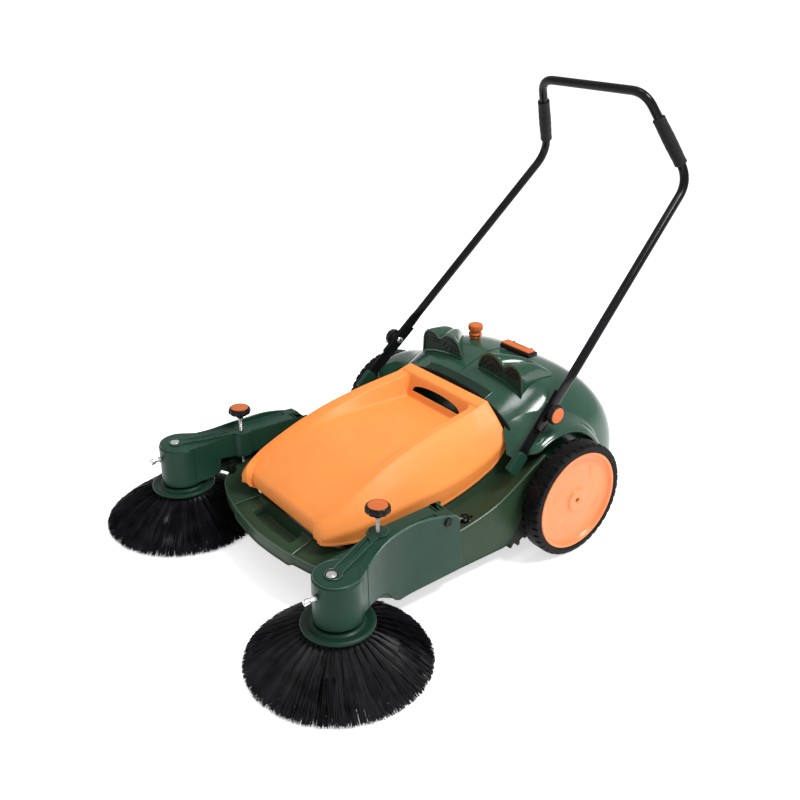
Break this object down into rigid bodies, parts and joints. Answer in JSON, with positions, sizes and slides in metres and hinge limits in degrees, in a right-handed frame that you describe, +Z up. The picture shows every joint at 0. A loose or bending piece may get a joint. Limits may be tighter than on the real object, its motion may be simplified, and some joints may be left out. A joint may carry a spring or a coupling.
{
  "type": "walk-behind sweeper",
  "caption": "Push sweeper on two large wheels with a roller brush, angled side brushes on lifting arms, a lidded dust hopper and a folding tube handle.",
  "frame": {"origin": "on the floor under the middle of the whole machine's bounding box", "axes": "+Z up, +Y from the brushes towards the handle, +X towards the side with the roller's gear pair and the latch"},
  "size_m": [1.058, 1.286, 1.008],
  "materials": {
    "green_plastic": "glossy dark green moulded plastic",
    "orange_plastic": "satin light orange moulded plastic",
    "orange_insert": "satin orange moulded plastic",
    "black_plastic": "black moulded plastic",
    "black_paint": "glossy black coated steel",
    "grip_foam": "matt black foam rubber",
    "tyre_rubber": "matt black rubber",
    "bristle_nylon": "black nylon bristle",
    "steel": "plain steel",
    "chrome": "bright plated steel",
    "gear_nylon": "natural nylon"
  },
  "bodies": {
    "chassis": {"chassis_shell": "green_plastic", "rear_frame": "black_plastic", "dust_hopper": "black_plastic", "rear_hood": "green_plastic", "vent_cowl_left": "green_plastic", "vent_cowl_right": "green_plastic", "filler_neck": "orange_insert", "water_tank": "black_plastic", "latch_base": "black_plastic", "axle": "steel", "lid_hinge_pin": "steel", "handle_bracket_left": "black_paint", "handle_bracket_right": "black_paint", "handle_bolt_left": "chrome", "handle_bolt_right": "chrome", "bar_socket_left": "green_plastic", "bar_socket_right": "green_plastic", "arm_stop_left": "black_plastic", "arm_stop_right": "black_plastic", "castor_frame": "black_paint"},
    "wheel_left": {"tyre_left": "tyre_rubber", "wheel_hub_left": "orange_plastic", "wheel_gear": "gear_nylon"},
    "wheel_right": {"tyre_right": "tyre_rubber", "wheel_hub_right": "orange_plastic"},
    "roller": {"roller_core": "black_plastic", "roller_bristles": "bristle_nylon", "roller_gear": "gear_nylon"},
    "lid": {"lid": "orange_plastic"},
    "filler_cap": {"filler_cap": "orange_insert"},
    "latch_lever": {"latch_lever": "orange_insert"},
    "handle": {"handle_tube": "black_paint", "grip_left": "grip_foam", "grip_right": "grip_foam"},
    "handle_knob_left": {"handle_knob_left": "black_plastic"},
    "handle_knob_right": {"handle_knob_right": "black_plastic"},
    "castor_left": {"castor_wheel_left": "black_plastic"},
    "castor_right": {"castor_wheel_right": "black_plastic"},
    "side_drive_left": {"side_drive_shaft_left": "steel"},
    "arm_left": {"side_arm_left": "green_plastic", "arm_pivot_pin_left": "black_plastic", "boss_bolt_left": "chrome", "spray_nozzle_left": "chrome"},
    "arm_shaft_left": {"arm_shaft_left": "steel"},
    "brush_left": {"brush_spindle_left": "steel", "brush_flange_left": "green_plastic", "side_brush_left": "bristle_nylon"},
    "adjuster_left": {"adjuster_screw_left": "steel", "adjuster_knob_left": "black_plastic"},
    "side_drive_right": {"side_drive_shaft_right": "steel"},
    "arm_right": {"side_arm_right": "green_plastic", "arm_pivot_pin_right": "black_plastic", "boss_bolt_right": "chrome", "spray_nozzle_right": "chrome"},
    "arm_shaft_right": {"arm_shaft_right": "steel"},
    "brush_right": {"brush_spindle_right": "steel", "brush_flange_right": "green_plastic", "side_brush_right": "bristle_nylon"},
    "adjuster_right": {"adjuster_screw_right": "steel", "adjuster_knob_right": "black_plastic"}
  },
  "joints": [
    {"name": "wheel_left_spin", "type": "hinge", "parent": "chassis", "child": "wheel_left", "pos_m": [0.34, 0.202, 0.14], "axis": [1, 0, 0], "continuous": true},
    {"name": "wheel_right_spin", "type": "hinge", "parent": "chassis", "child": "wheel_right", "pos_m": [-0.34, 0.202, 0.14], "axis": [1, 0, 0], "continuous": true},
    {"name": "roller_spin", "type": "hinge", "parent": "chassis", "child": "roller", "pos_m": [0, 0.077, 0.079], "axis": [1, 0, 0], "continuous": true},
    {"name": "lid_hinge", "type": "hinge", "parent": "chassis", "child": "lid", "pos_m": [0, -0.36, 0.146], "axis": [1, 0, 0], "range_deg": [0, 70]},
    {"name": "filler_cap_turn", "type": "hinge", "parent": "chassis", "child": "filler_cap", "pos_m": [-0.094, 0.282, 0.3825], "axis": [0, 0, 1], "range_deg": [0, 720]},
    {"name": "latch_lift", "type": "hinge", "parent": "chassis", "child": "latch_lever", "pos_m": [0.047, 0.285, 0.398], "axis": [1, 0, 0], "range_deg": [0, 60]},
    {"name": "handle_fold", "type": "hinge", "parent": "chassis", "child": "handle", "pos_m": [0, 0.172, 0.344], "axis": [1, 0, 0], "range_deg": [-35, 105]},
    {"name": "handle_knob_left_turn", "type": "hinge", "parent": "chassis", "child": "handle_knob_left", "pos_m": [0.286, 0.172, 0.344], "axis": [1, 0, 0], "range_deg": [0, 1080]},
    {"name": "handle_knob_right_turn", "type": "hinge", "parent": "chassis", "child": "handle_knob_right", "pos_m": [-0.286, 0.172, 0.344], "axis": [-1, 0, 0], "range_deg": [0, 1080]},
    {"name": "castor_left_spin", "type": "hinge", "parent": "chassis", "child": "castor_left", "pos_m": [0.13, -0.278, 0.0205], "axis": [1, 0, 0], "continuous": true},
    {"name": "castor_right_spin", "type": "hinge", "parent": "chassis", "child": "castor_right", "pos_m": [-0.13, -0.278, 0.0205], "axis": [1, 0, 0], "continuous": true},
    {"name": "side_drive_left_spin", "type": "hinge", "parent": "chassis", "child": "side_drive_left", "pos_m": [0.258, 0.077, 0.079], "axis": [0.121, -0.8848, 0.45], "continuous": true},
    {"name": "arm_left_lift", "type": "hinge", "parent": "chassis", "child": "arm_left", "pos_m": [0.29, -0.157, 0.198], "axis": [-1, 0, 0], "range_deg": [0, 8]},
    {"name": "arm_shaft_left_spin", "type": "hinge", "parent": "arm_left", "child": "arm_shaft_left", "pos_m": [0.29, -0.157, 0.198], "axis": [0.1545, -0.9841, -0.0873], "continuous": true},
    {"name": "brush_left_spin", "type": "hinge", "parent": "arm_left", "child": "brush_left", "pos_m": [0.336, -0.45, 0], "axis": [0, 0, 1], "continuous": true},
    {"name": "adjuster_left_turn", "type": "hinge", "parent": "arm_left", "child": "adjuster_left", "pos_m": [0.281, -0.312, 0.137], "axis": [0, 0, 1], "range_deg": [-720, 720]},
    {"name": "side_drive_right_spin", "type": "hinge", "parent": "chassis", "child": "side_drive_right", "pos_m": [-0.258, 0.077, 0.079], "axis": [-0.121, -0.8848, 0.45], "continuous": true},
    {"name": "arm_right_lift", "type": "hinge", "parent": "chassis", "child": "arm_right", "pos_m": [-0.29, -0.157, 0.198], "axis": [-1, 0, 0], "range_deg": [0, 8]},
    {"name": "arm_shaft_right_spin", "type": "hinge", "parent": "arm_right", "child": "arm_shaft_right", "pos_m": [-0.29, -0.157, 0.198], "axis": [-0.1545, -0.9841, -0.0873], "continuous": true},
    {"name": "brush_right_spin", "type": "hinge", "parent": "arm_right", "child": "brush_right", "pos_m": [-0.336, -0.45, 0], "axis": [0, 0, 1], "continuous": true},
    {"name": "adjuster_right_turn", "type": "hinge", "parent": "arm_right", "child": "adjuster_right", "pos_m": [-0.281, -0.312, 0.137], "axis": [0, 0, 1], "range_deg": [-720, 720]}
  ],
  "couplings": [
    {"joint": "roller_spin", "follows": "wheel_left_spin", "ratio": -2},
    {"joint": "side_drive_left_spin", "follows": "wheel_left_spin", "ratio": 2},
    {"joint": "arm_shaft_left_spin", "follows": "wheel_left_spin", "ratio": 2},
    {"joint": "brush_left_spin", "follows": "wheel_left_spin", "ratio": -2},
    {"joint": "side_drive_right_spin", "follows": "wheel_left_spin", "ratio": -2},
    {"joint": "arm_shaft_right_spin", "follows": "wheel_left_spin", "ratio": -2},
    {"joint": "brush_right_spin", "follows": "wheel_left_spin", "ratio": 2}
  ]
}
